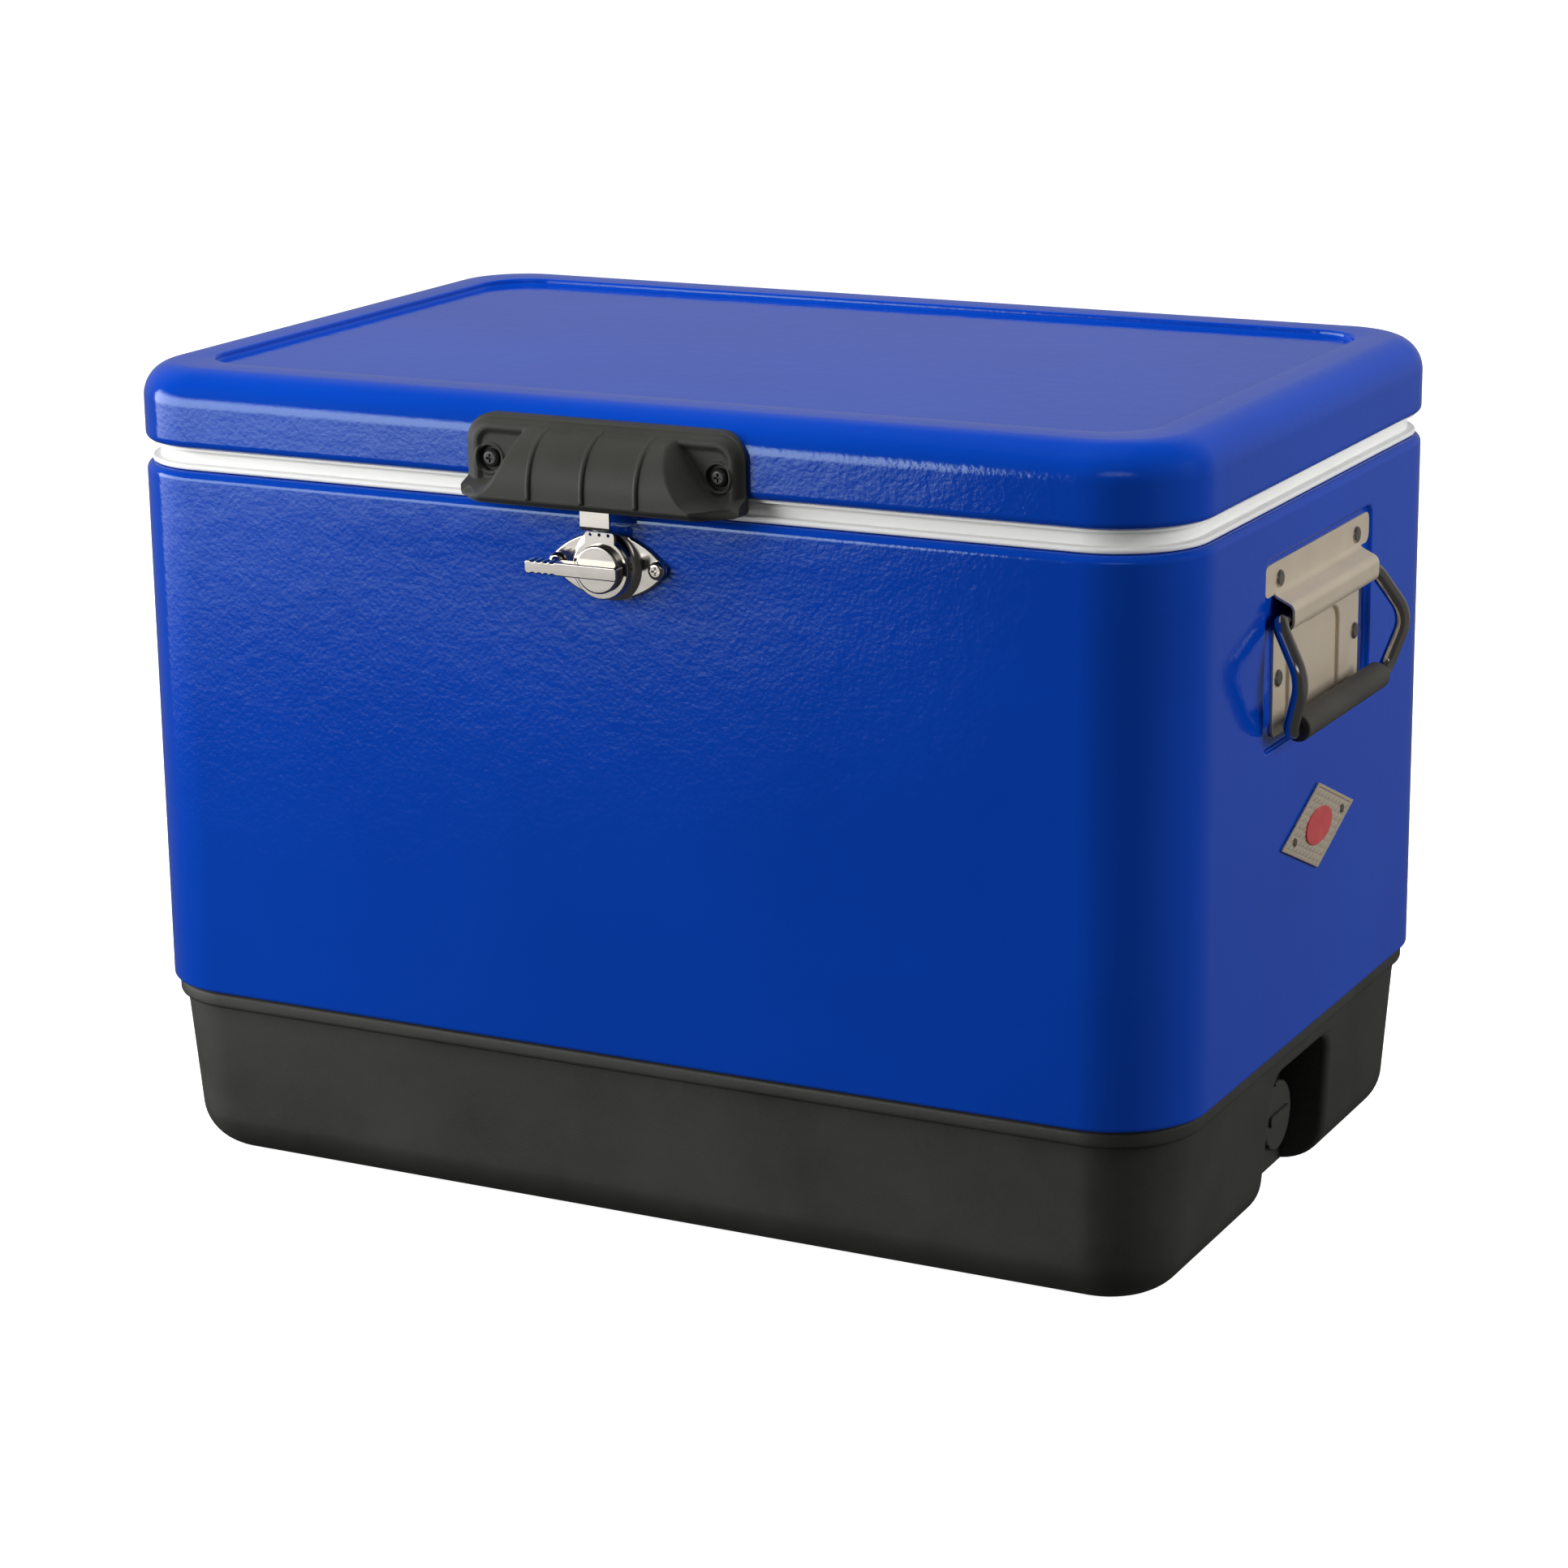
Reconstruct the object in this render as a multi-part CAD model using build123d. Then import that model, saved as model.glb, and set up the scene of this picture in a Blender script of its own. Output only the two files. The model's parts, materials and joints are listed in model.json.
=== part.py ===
from build123d import *
import os

os.makedirs("parts", exist_ok=True)

# Steel-belted cooler chest. Millimetres, +Z up, +X to the right end, front face towards -Y.
# The origin is the centre of the base's underside.

# Overall envelope
chest_width = 600.0
chest_depth = 390.0
chest_height = 434.0
corner_radius = 50.0
half_width = chest_width / 2
half_depth = chest_depth / 2

# Gaps and sheet thicknesses
seam = 0.3
fit_gap = 0.05
steel = 0.6
plastic = 2.5

# Base tub
base_top = 97.0
base_wall_top = 88.0
base_wall = 3.0
base_inset_low = 12.9
base_inset_high = 6.8
base_corner_low = 40.0
base_corner_high = 43.0
base_edge_radius = 23.0
base_lip_inset = 3.0
base_lip_round = 2.5

# Drain notch in the right end of the base
notch_y = 11.0
notch_half_low = 46.5
notch_half_high = 42.0
notch_top = 77.0
notch_corner = 13.0
notch_back_x = 264.0
notch_edge_round = 4.0

# Steel belt
belt_bottom = 97.5
belt_top = 382.0
belt_top_round = 4.5
belt_bottom_round = 2.0
belt_flange = 9.7
belt_hem = 6.0
recess_half = 77.0
recess_low = 262.0
recess_high = 359.0
recess_depth = 2.5
recess_corner = 6.0
recess_edge_round = 1.2

# Ice box liner
rim_top = 392.1
neck_inset = 7.5
lip_inset = 3.0
lip_low = 382.3
lip_high = 385.3
box_inset_high = 37.0
box_inset_low = 44.0
box_corner = 40.0
box_floor = 50.0
box_floor_round = 22.0
well_floor = 29.0
well_top = 60.0
well_x_low = 190.0
well_x_high = 252.0
well_half = 30.0

# Drain
drain_z = 42.0
drain_bore = 6.0
drain_tube = 7.9
drain_flange = 18.0
drain_neck = 12.6
drain_neck_end = 277.0
cap_radius = 19.0
cap_low_x = 270.0
cap_face_x = 281.0
cap_bore = 13.3

# Lid
lid_bottom = 394.0
lid_top_round = 18.0
lid_edge_round = 3.5
lid_hem = 6.0
panel_width = 534.0
panel_depth = 320.0
panel_corner = 28.0
panel_sink = 3.2
panel_round = 1.4
lid_liner_bottom = 392.5
lid_liner_top = 396.0
lid_lip_inset = 3.5
plug_inset = 40.0
plug_corner = 36.0
plug_bottom = 380.0
plug_round = 5.0

# Lid grip
grip_half = 78.0
grip_low = 386.5
grip_high = 427.0
grip_corner = 15.0
grip_flange_y = -199.5
grip_front_y = -222.0
grip_wall = 3.0
grip_screw_x = 64.0
grip_screw_z = 404.5
grip_counterbore = 6.3
rib_spacing = 30.0

# Latch
latch_z = 355.0
plate_half_width = 34.0
plate_half_height = 17.0
plate_thickness = 1.8
flare_radius = 19.5
boss_radius = 14.8
boss_front = -202.0
cam_radius = 15.5
cam_back = -202.4
cam_front = -204.6
tongue_half = 8.2
tongue_reach = 18.2
tongue_slot_pitch = 5.0
rotor_radius = 12.2
rotor_front = -208.0
lever_front = -214.6
lever_left = -37.2
lever_right = 14.8
lever_height = 6.8
scallop_first = 4.6
scallop_pitch = 3.7
spindle_radius = 3.0
spindle_front = -212.0
latch_screw_x = 28.0
strike_half = 8.2
strike_face = -209.0
strike_bottom = 374.2
strike_sheet = 1.5

# Bail handles (right one; the left is its mirror image)
pivot_x = 304.0
pivot_z = 328.0
rod_radius = 4.0
bail_bottom_x = 311.0
bail_bottom_z = 273.0
bracket_sheet = 1.2
bracket_half = 62.5
bracket_top_half = 76.0
bracket_top = 356.0
bracket_shoulder = 340.0
bracket_bottom = 267.0
bracket_corner = 4.0
channel_front = 309.0
bail_grip_radius = 7.1
bail_grip_half = 60.0
bracket_rivets = [(56.0, 347.0), (56.0, 296.5)]

# Nameplate
nameplate_y = 2.0
nameplate_z = 206.0
nameplate_half_width = 53.0
nameplate_half_height = 22.6
nameplate_sheet = 1.0
nameplate_rivet = 35.0

# Hinges
hinge_x = 180.0
hinge_y = 200.6
hinge_z = 388.2
hinge_half = 35.0
hinge_middle = 11.7
knuckle_radius = 4.4
hinge_pin = 2.4
leaf_sheet = 1.5
leaf_reach = 34.0
leaf_rivet_x = 24.0
leaf_rivet_rows = (15.0, 28.0)

# Fasteners
rivet_head = 4.4
rivet_shank = 2.0
rivet_length = 6.0
screw_head = 4.7
screw_shank = 1.9
screw_length = 9.0


def block(width, depth, radius, z_low, z_high):
    """Upright block with rounded plan corners, centred on the Z axis."""
    return Pos(0, 0, z_low) * extrude(RectangleRounded(width, depth, radius), z_high - z_low)


def inset_block(inset, z_low, z_high):
    """Upright block that follows the chest's plan outline at a given inset."""
    return block(
        chest_width - 2 * inset, chest_depth - 2 * inset, corner_radius - inset, z_low, z_high
    )


def drafted_block(inset_low, radius_low, inset_high, radius_high, z_low, z_high):
    """Block whose walls lean, given the plan inset and corner radius at both ends."""
    low = RectangleRounded(chest_width - 2 * inset_low, chest_depth - 2 * inset_low, radius_low)
    high = RectangleRounded(chest_width - 2 * inset_high, chest_depth - 2 * inset_high, radius_high)
    return loft([Pos(0, 0, z_low) * low, Pos(0, 0, z_high) * high], ruled=True)


def box(x_range, y_range, z_range):
    """Box between two limits along each axis."""
    size = [high - low for low, high in (x_range, y_range, z_range)]
    centre = [(high + low) / 2 for low, high in (x_range, y_range, z_range)]
    return Pos(*centre) * Box(*size)


def rod_x(radius, x_low, x_high, y, z):
    """Cylinder along X."""
    return Pos((x_low + x_high) / 2, y, z) * Rot(0, 90, 0) * Cylinder(radius, x_high - x_low)


def rod_y(radius, x, y_low, y_high, z):
    """Cylinder along Y."""
    return Pos(x, (y_low + y_high) / 2, z) * Rot(90, 0, 0) * Cylinder(radius, y_high - y_low)


def round_bottom(solid, radius):
    """Round the lowest face's edges."""
    return fillet(solid.faces().sort_by(Axis.Z)[0].edges(), radius)


def round_top(solid, radius):
    """Round the highest face's edges."""
    return fillet(solid.faces().sort_by(Axis.Z)[-1].edges(), radius)


def save(name, shape):
    """Write one named piece."""
    shape.label = name
    export_step(shape, f"parts/{name}.step")


def group(solids):
    """Several separate solids as one named piece."""
    return Compound(children=list(solids))


def side_plate(outline, x_low, x_high):
    """Extrude an outline drawn in Y and Z along X."""
    return Pos(x_low, 0, 0) * extrude(Plane.YZ * outline, x_high - x_low, dir=(1, 0, 0))


def front_plate(outline, y_back, y_front):
    """Extrude an outline drawn in X and Z from y_back forward to y_front."""
    return Pos(0, y_back, 0) * extrude(Plane.XZ * outline, y_back - y_front, dir=(0, -1, 0))


# ---------------------------------------------------------------- fasteners


def rivet():
    """Domed rivet on +Z: head above the plane z = 0, shank below it."""
    dome = Cylinder(rivet_head, 1.5, align=(Align.CENTER, Align.CENTER, Align.MIN))
    dome = fillet(dome.edges().sort_by(Axis.Z)[-1], 1.2)
    shank = Cylinder(rivet_shank, rivet_length, align=(Align.CENTER, Align.CENTER, Align.MAX))
    return dome + shank


def screw():
    """Pan-head screw on +Z with a cross recess: head above z = 0, shank below it."""
    head = Cylinder(screw_head, 2.6, align=(Align.CENTER, Align.CENTER, Align.MIN))
    head = fillet(head.edges().sort_by(Axis.Z)[-1], 2.0)
    shank = Cylinder(screw_shank, screw_length, align=(Align.CENTER, Align.CENTER, Align.MAX))
    slot = Pos(0, 0, 2.2) * Box(4.4, 1.0, 2.4)
    return head + shank - slot - Rot(0, 0, 90) * slot


def shank_hole(radius, length):
    """Clearance for a shank: from just above z = 0 down past its end."""
    return Pos(0, 0, 1) * Cylinder(
        radius + 0.15, length + 1.5, align=(Align.CENTER, Align.CENTER, Align.MAX)
    )


def on_right(x, y, z):
    """Placement on the right end: local +Z points along +X."""
    return Pos(x, y, z) * Rot(0, 90, 0)


def on_front(x, y, z):
    """Placement on the front: local +Z points along -Y."""
    return Pos(x, y, z) * Rot(90, 0, 0)


def on_back(x, y, z):
    """Placement on the back: local +Z points along +Y."""
    return Pos(x, y, z) * Rot(-90, 0, 0)


def bracket_rivet_places():
    """The four rivets of the right-hand bracket."""
    x = half_width - recess_depth + 0.1 + bracket_sheet
    return [on_right(x, side * y, z) for y, z in bracket_rivets for side in (-1, 1)]


def nameplate_rivet_places():
    """The two pins of the nameplate."""
    x = half_width + 0.1 + nameplate_sheet
    return [on_right(x, nameplate_y + side * nameplate_rivet, nameplate_z) for side in (-1, 1)]


def latch_screw_places():
    """The two screws of the latch plate."""
    y = -half_depth - 0.1 - plate_thickness
    return [on_front(side * latch_screw_x, y, latch_z) for side in (-1, 1)]


def grip_screw_places():
    """The two screws of the lid grip, sunk in their counterbores."""
    return [on_front(side * grip_screw_x, grip_flange_y + 2.0, grip_screw_z) for side in (-1, 1)]


def leaf_rivet_places(upward):
    """The rivets of both upper or both lower hinge leaves."""
    y = half_depth + 0.1 + leaf_sheet
    places = []
    for centre in (-hinge_x, hinge_x):
        for side in (-1, 1):
            for row in leaf_rivet_rows:
                z = hinge_z + row if upward else hinge_z - row
                places.append(on_back(centre + side * leaf_rivet_x, y, z))
    return places


def mirrored(shape):
    """The left-hand copy of a right-hand shape."""
    return mirror(shape, Plane.YZ)


def chest_fastener_holes():
    """Clearance holes for every fastener that enters the chest's walls."""
    right = [place * shank_hole(rivet_shank, rivet_length) for place in bracket_rivet_places()]
    holes = right + [mirrored(hole) for hole in right]
    holes += [place * shank_hole(1.2, 4.0) for place in nameplate_rivet_places()]
    holes += [place * shank_hole(screw_shank, screw_length) for place in latch_screw_places()]
    holes += [place * shank_hole(rivet_shank, rivet_length) for place in leaf_rivet_places(False)]
    return holes


def lid_fastener_holes():
    """Clearance holes for every fastener that enters the lid's walls."""
    holes = [place * shank_hole(screw_shank, screw_length) for place in grip_screw_places()]
    holes += [place * shank_hole(rivet_shank, rivet_length) for place in leaf_rivet_places(True)]
    return holes


# ---------------------------------------------------------------- chest shells


def notch(grow):
    """The drain notch's space, grown by a wall or a gap."""
    low, high = notch_half_low + grow, notch_half_high + grow
    outline = Polygon(
        (notch_y - low, -2), (notch_y + low, -2), (notch_y + high, notch_top + grow),
        (notch_y - high, notch_top + grow), align=None,
    )
    outline = fillet(outline.vertices().sort_by(Axis.Y)[-2:], notch_corner + grow)
    return side_plate(outline, notch_back_x - grow, half_width + 5)


def base_inside(shrink):
    """The space inside the base tub, with the notch's walls left standing."""
    space = drafted_block(
        base_inset_low + base_wall + shrink, base_corner_low - base_wall,
        base_inset_high + base_wall + shrink, base_corner_high - base_wall,
        base_wall + shrink, base_top + 5,
    )
    space = round_bottom(space, base_edge_radius - base_wall)
    return space - notch(base_wall + shrink)


def base_tub():
    """Black moulded base: leaning walls, a rounded lip on top and the drain notch."""
    wall = drafted_block(
        base_inset_low, base_corner_low, base_inset_high, base_corner_high, 0, base_wall_top + 1
    )
    wall = round_bottom(wall, base_edge_radius)
    wall -= notch(0)
    mouth = wall.edges().filter_by(
        lambda e: e.center().X > notch_back_x + 10 and abs(e.center().Y - notch_y) < notch_half_low + 1
        and e.center().X > half_width - base_inset_low - base_edge_radius / 2
        and 1 < e.center().Z < notch_top + 1 and e.length > 5
        and e.bounding_box().size.X < 15
    )
    wall = fillet(mouth, notch_edge_round)
    lip = inset_block(base_lip_inset, base_wall_top, base_top)
    lip = round_bottom(round_top(lip, base_lip_round), base_lip_round)
    tub = wall + lip - base_inside(0)
    return tub - rod_x(drain_tube + seam, notch_back_x - 5, notch_back_x + 1, notch_y, drain_z)


def recess(grow, deep):
    """The pressed recess of the right end, grown by a sheet thickness or a gap."""
    outline = Pos(0, (recess_low + recess_high) / 2) * RectangleRounded(
        2 * (recess_half + grow), recess_high - recess_low + 2 * grow, recess_corner + grow
    )
    return side_plate(outline, half_width - recess_depth - deep, half_width + 5)


def belt_core(inset, z_low, z_high, low_round, high_round):
    """Solid that follows the belt at an inset, with rounded top and bottom edges."""
    return round_bottom(round_top(inset_block(inset, z_low, z_high), high_round), low_round)


def steel_belt():
    """Painted steel wrap with turned-in edges and a pressed recess on each end."""
    outer = belt_core(0, belt_bottom, belt_top, belt_bottom_round, belt_top_round)
    cut = recess(0, 0)
    outer = outer - cut - mirrored(cut)
    sunk = outer.edges().filter_by(
        lambda e: abs(e.center().X) > half_width - recess_depth - 0.1
        and abs(e.center().Y) < recess_half + 0.1
        and recess_low - 0.1 < e.center().Z < recess_high + 0.1
    )
    outer = fillet(sunk, recess_edge_round)
    inner = belt_core(
        steel, belt_bottom + steel, belt_top - steel,
        belt_bottom_round - steel, belt_top_round - steel,
    )
    stand = recess(steel, steel)
    inner = inner - stand - mirrored(stand)
    belt = outer - inner
    belt -= inset_block(belt_flange, belt_top - 5, belt_top + 1)
    belt -= inset_block(belt_hem, belt_bottom - 1, belt_bottom + 5)
    return cut_all(belt, chest_fastener_holes())


def cut_all(shape, holes):
    """Take a list of holes out of a shape."""
    for hole in holes:
        shape -= hole
    return shape


def ice_box(grow, top):
    """The ice box's space, grown by the liner's wall or a gap."""
    space = drafted_block(
        box_inset_low - grow, box_corner + grow - 2, box_inset_high - grow, box_corner + grow,
        box_floor - grow, rim_top,
    )
    space = round_bottom(space, box_floor_round + grow)
    if top > rim_top:
        lid_way = inset_block(box_inset_high - grow, rim_top - 0.01, top)
        space += lid_way
    return space


def drain_well(grow):
    """The sump at the drain's end of the floor."""
    return box(
        (well_x_low - grow, well_x_high + grow),
        (notch_y - well_half - grow, notch_y + well_half + grow),
        (well_floor - grow, well_top),
    )


def inner_liner():
    """Off-white ice box: one moulding from the drain well up to the rim and its lip."""
    tub = ice_box(plastic, rim_top)
    sump = drain_well(plastic)
    rim = round_top(inset_block(neck_inset, lip_low, rim_top), 2.5)
    lip = inset_block(lip_inset, lip_low, lip_high)
    lip = round_bottom(round_top(lip, 1.3), 1.3)
    hollow = inset_block(neck_inset + plastic, lip_low - 1, rim_top - plastic) - tub
    body = tub + sump + rim + lip - hollow
    mouth = inset_block(box_inset_high, rim_top - 1, rim_top + 1)
    body = body - ice_box(0, rim_top) - drain_well(0) - mouth
    return body - rod_x(drain_tube + fit_gap, well_x_high - 5, well_x_high + 10, notch_y, drain_z)


def body_foam():
    """Insulation that fills the space between the liner, the belt and the base."""
    upper = belt_core(
        steel + seam, belt_bottom + steel + seam, belt_top - steel - seam,
        belt_bottom_round - steel, belt_top_round - steel - seam,
    )
    stand = recess(steel + seam, steel + seam)
    upper = upper - stand - mirrored(stand)
    collar = inset_block(neck_inset + plastic + seam, belt_top - 5, rim_top - plastic - seam)
    foam = upper + collar + base_inside(seam) & inset_block(0, 0, rim_top)
    foam = foam - ice_box(plastic + seam, rim_top + 1) - drain_well(plastic + seam)
    foam -= rod_x(drain_tube + seam, well_x_high, notch_back_x, notch_y, drain_z)
    return cut_all(foam, chest_fastener_holes())


# ---------------------------------------------------------------- drain


def drain_spout():
    """Drain tube through the wall, with its flange and threaded neck in the notch."""
    tube = rod_x(drain_tube, well_x_high - 7, notch_back_x + 1, notch_y, drain_z)
    flange = rod_x(drain_flange, notch_back_x + 0.1, notch_back_x + 3, notch_y, drain_z)
    neck = rod_x(drain_neck, notch_back_x + 1, drain_neck_end, notch_y, drain_z)
    bore = rod_x(drain_bore, well_x_high - 10, drain_neck_end + 1, notch_y, drain_z)
    return tube + flange + neck - bore


def drain_nut():
    """Nut in the well that draws the spout's flange against the notch."""
    ring = rod_x(12.2, well_x_high - 5.1, well_x_high - 0.1, notch_y, drain_z)
    return ring - rod_x(drain_tube + fit_gap, well_x_high - 6, well_x_high, notch_y, drain_z)


def drain_cap():
    """Screw cap with a finger bar across its face and notches round its rim."""
    cap = rod_x(cap_radius, cap_low_x, cap_face_x - 1.5, notch_y, drain_z)
    cap = fillet(cap.edges().sort_by(Axis.X)[-1], 1.2)
    bar = box(
        (cap_face_x - 2, cap_face_x), (notch_y - 14, notch_y + 14), (drain_z - 3, drain_z + 3)
    )
    bar = fillet(bar.edges().filter_by(Axis.X), 2.5)
    cap = cap + bar - rod_x(cap_bore, cap_low_x - 1, cap_face_x - 2.7, notch_y, drain_z)
    for index in range(12):
        turn = Pos(0, notch_y, drain_z) * Rot(index * 30 + 15, 0, 0)
        cap -= turn * rod_x(1.3, cap_low_x + 3, cap_face_x + 1, 0, cap_radius + 0.4)
    return cap


def drain_gasket():
    """Sealing disc inside the cap."""
    return rod_x(cap_bore - 0.2, drain_neck_end + 0.35, cap_face_x - 2.8, notch_y, drain_z)


def drain_tether():
    """Loose collar that rides behind the cap, with its short strap tail."""
    ring = rod_x(16.5, 267.4, 269.6, notch_y, drain_z)
    ring -= rod_x(drain_neck + 0.4, 267, 270, notch_y, drain_z)
    tail = box((267.4, 269.6), (notch_y + 15, notch_y + 38), (drain_z - 4, drain_z + 4))
    tail = fillet(tail.edges().filter_by(Axis.X).sort_by(Axis.Y)[-2:], 3.5)
    return ring + tail


# ---------------------------------------------------------------- handles


def bail_bracket():
    """Stainless bracket: riveted flange, rolled channel for the bail, lower plate with a raised arch."""
    wall_x = half_width - recess_depth + 0.1
    line_x = wall_x + bracket_sheet / 2
    path = FilletPolyline(
        (line_x, bracket_top), (line_x, 339.5), (channel_front, 334.5),
        (channel_front, 322.9), (line_x, 321.9), (line_x, bracket_bottom),
        radius=[4.0, 4.3, 4.3, 1.2],
    )
    strip = extrude(Plane.XZ * trace(path, bracket_sheet), bracket_half, both=True)
    trim = Pos(0, (bracket_bottom + bracket_top) / 2) * RectangleRounded(
        2 * bracket_half, bracket_top - bracket_bottom, bracket_corner
    )
    strip = strip & side_plate(trim, wall_x - 1, channel_front + 5)
    top = Pos(0, (bracket_top + bracket_shoulder) / 2) * RectangleRounded(
        2 * bracket_top_half, bracket_top - bracket_shoulder, recess_corner - 1
    )
    plate = strip + side_plate(top, wall_x, wall_x + bracket_sheet)
    arch_outer = Pos(0, 294.5) * RectangleRounded(88, 54, 4)
    arch_inner = Pos(0, 290) * RectangleRounded(56, 54, 9)
    arch = side_plate(arch_outer - arch_inner, wall_x + bracket_sheet / 2, wall_x + 3.4)
    arch = fillet(arch.faces().sort_by(Axis.X)[-1].edges(), 1.6)
    plate += arch
    return cut_all(plate, [place * shank_hole(rivet_shank, 2) for place in bracket_rivet_places()])


def bail_rod():
    """Bent rod: it turns in the channel, bows out at the arms and comes back to the grip."""
    half = [
        (pivot_x, 0.5, pivot_z), (pivot_x, 70.0, pivot_z), (320.0, 78.0, 302.0),
        (bail_bottom_x, 71.0, bail_bottom_z),
    ]
    points = half + [(x, -y, z) for x, y, z in reversed(half)]
    path = FilletPolyline(*points, radius=[8, 18, 9, 9, 18, 8])
    start = Plane(origin=half[0], z_dir=(0, 1, 0))
    return sweep(start * Circle(rod_radius), path=path)


def bail_grip():
    """Rubber tube on the bail's lower bar."""
    tube = rod_y(bail_grip_radius, bail_bottom_x, -bail_grip_half, bail_grip_half, bail_bottom_z)
    tube = fillet(tube.edges().filter_by(GeomType.CIRCLE), 1.2)
    bore = rod_y(rod_radius + fit_gap, bail_bottom_x, -65, 65, bail_bottom_z)
    return tube - bore


# ---------------------------------------------------------------- nameplate


def diamond(half_w, half_h):
    """Rhombus in Y and Z at the nameplate's place."""
    outline = Polygon((-half_w, 0), (0, -half_h), (half_w, 0), (0, half_h), align=None)
    return Pos(nameplate_y, nameplate_z) * outline


def nameplate():
    """Diamond plate with a raised border."""
    x = half_width + 0.1
    plate = side_plate(diamond(nameplate_half_width, nameplate_half_height), x, x + nameplate_sheet)
    border = diamond(nameplate_half_width, nameplate_half_height) - diamond(
        nameplate_half_width - 5, nameplate_half_height - 2.2
    )
    plate += side_plate(border, x, x + nameplate_sheet + 0.5)
    return cut_all(plate, [place * shank_hole(1.2, 2) for place in nameplate_rivet_places()])


def nameplate_emblem():
    """Plain oval inset in the middle of the nameplate."""
    x = half_width + 0.1 + nameplate_sheet
    outline = Pos(nameplate_y, nameplate_z) * Ellipse(19, 9.5)
    oval = side_plate(outline, x + 0.02, x + 1.0)
    return fillet(oval.faces().sort_by(Axis.X)[-1].edges(), 0.5)


def small_rivet():
    """Small domed pin for the nameplate."""
    dome = Cylinder(2.4, 1.0, align=(Align.CENTER, Align.CENTER, Align.MIN))
    dome = fillet(dome.edges().sort_by(Axis.Z)[-1], 0.8)
    return dome + Cylinder(1.2, 4.0, align=(Align.CENTER, Align.CENTER, Align.MAX))


# ---------------------------------------------------------------- latch


def almond():
    """Outline of the latch plate: two arcs that meet in rounded points."""
    arc_radius = (plate_half_width**2 + plate_half_height**2) / (2 * plate_half_height)
    rise = arc_radius - plate_half_height
    outline = Pos(0, latch_z - rise) * Circle(arc_radius) & Pos(0, latch_z + rise) * Circle(arc_radius)
    return fillet(outline.vertices(), 3.5)


def latch_boss(back):
    """Round boss that flares out to the latch plate, with a hollow for the spindle's collar."""
    foot = back - plate_thickness
    profile = Polyline((0, back), (flare_radius, back), (flare_radius, foot)) + ThreePointArc(
        (flare_radius, foot), (boss_radius + 1.3, foot - 1.4), (boss_radius, boss_front + 1)
    ) + Polyline((boss_radius, boss_front + 1), (boss_radius, boss_front), (0, boss_front), (0, back))
    bell = Pos(0, 0, latch_z) * revolve(make_face(profile), Axis.Y)
    bell = bell & front_plate(almond(), back, boss_front - 1)
    return bell - rod_y(boss_radius - 5, 0, -199.2, back + 1, latch_z)


def latch_escutcheon():
    """Almond-shaped plate with its flared boss and the spindle's bearing."""
    back = -half_depth - 0.1
    plate = front_plate(almond(), back, back - plate_thickness)
    plate = fillet(plate.faces().sort_by(Axis.Y)[0].edges(), 1.0)
    plate -= rod_y(boss_radius - 5, 0, -199.2, back + 1, latch_z)
    plate += latch_boss(back)
    plate -= rod_y(spindle_radius + fit_gap, 0, boss_front - 1, back, latch_z)
    return cut_all(plate, [place * shank_hole(screw_shank, 3) for place in latch_screw_places()])


def latch_rotor():
    """Cam disc with its slotted tongue, and the smaller disc that the lever stands on."""
    cam = rod_y(cam_radius, 0, cam_front, cam_back, latch_z)
    tongue = box((-tongue_half, tongue_half), (cam_front, cam_back), (latch_z, latch_z + tongue_reach))
    tongue = fillet(tongue.edges().filter_by(Axis.Y).sort_by(Axis.Z)[-2:], 1.5)
    for index in (-1, 0, 1):
        x = index * tongue_slot_pitch
        tongue -= rod_y(0.9, x, cam_front - 1, cam_back + 1, latch_z + tongue_reach - 1.2)
    cam = fillet(cam.edges().sort_by(Axis.Y)[0], 0.6)
    disc = rod_y(rotor_radius, 0, rotor_front, cam_front + 0.5, latch_z)
    disc = fillet(disc.edges().sort_by(Axis.Y)[0], 1.0)
    bore = rod_y(spindle_radius + fit_gap, 0, rotor_front - 1, cam_back + 1, latch_z)
    return cam + tongue + disc - bore


def latch_lever():
    """Square-sided bar with scalloped edges at its long end, hollow behind for the spindle."""
    length = lever_right - lever_left
    outline = Pos((lever_left + lever_right) / 2, latch_z) * RectangleRounded(length, lever_height, 1.6)
    back = rotor_front - 0.02
    bar = front_plate(outline, back, lever_front)
    for index in range(4):
        x = lever_left + scallop_first + index * scallop_pitch
        for side in (-1, 1):
            z = latch_z + side * (lever_height / 2 + 1.2)
            bar -= rod_y(1.8, x, lever_front - 1, back + 1, z)
    bar = fillet(bar.faces().sort_by(Axis.Y)[0].edges(), 0.6)
    return bar - rod_y(spindle_radius + fit_gap, 0, spindle_front - 0.5, back + 1, latch_z)


def latch_spindle():
    """Pin through the boss and the rotor into the lever, with its retaining collar."""
    pin = rod_y(spindle_radius, 0, spindle_front, -196.0, latch_z)
    return pin + rod_y(6.0, 0, -198.6, -196.0, latch_z)


def latch_strike():
    """Folded tab: fixed to the lid under the grip, stepped forward and curled back at its end."""
    back = -half_depth - 0.1 - strike_sheet / 2
    front = strike_face + strike_sheet / 2
    low = strike_bottom + strike_sheet / 2
    path = FilletPolyline(
        (back, 414), (back, 397), (front, 390), (front, low), (front + 2.9, low),
        radius=[2.5, 2.5, 1.6],
    )
    return extrude(Plane.YZ * trace(path, strike_sheet), strike_half, both=True)


# ---------------------------------------------------------------- lid


def lid_core(inset, z_low, z_high, low_round, high_round):
    """Solid that follows the lid at an inset, with rounded top and bottom edges."""
    return round_bottom(round_top(inset_block(inset, z_low, z_high), high_round), low_round)


def lid_panel(grow, deep):
    """The sunk centre panel's space, grown by a sheet thickness or a gap."""
    return block(
        panel_width + 2 * grow, panel_depth + 2 * grow, panel_corner + grow,
        chest_height - panel_sink - deep, chest_height + 1,
    )


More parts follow.
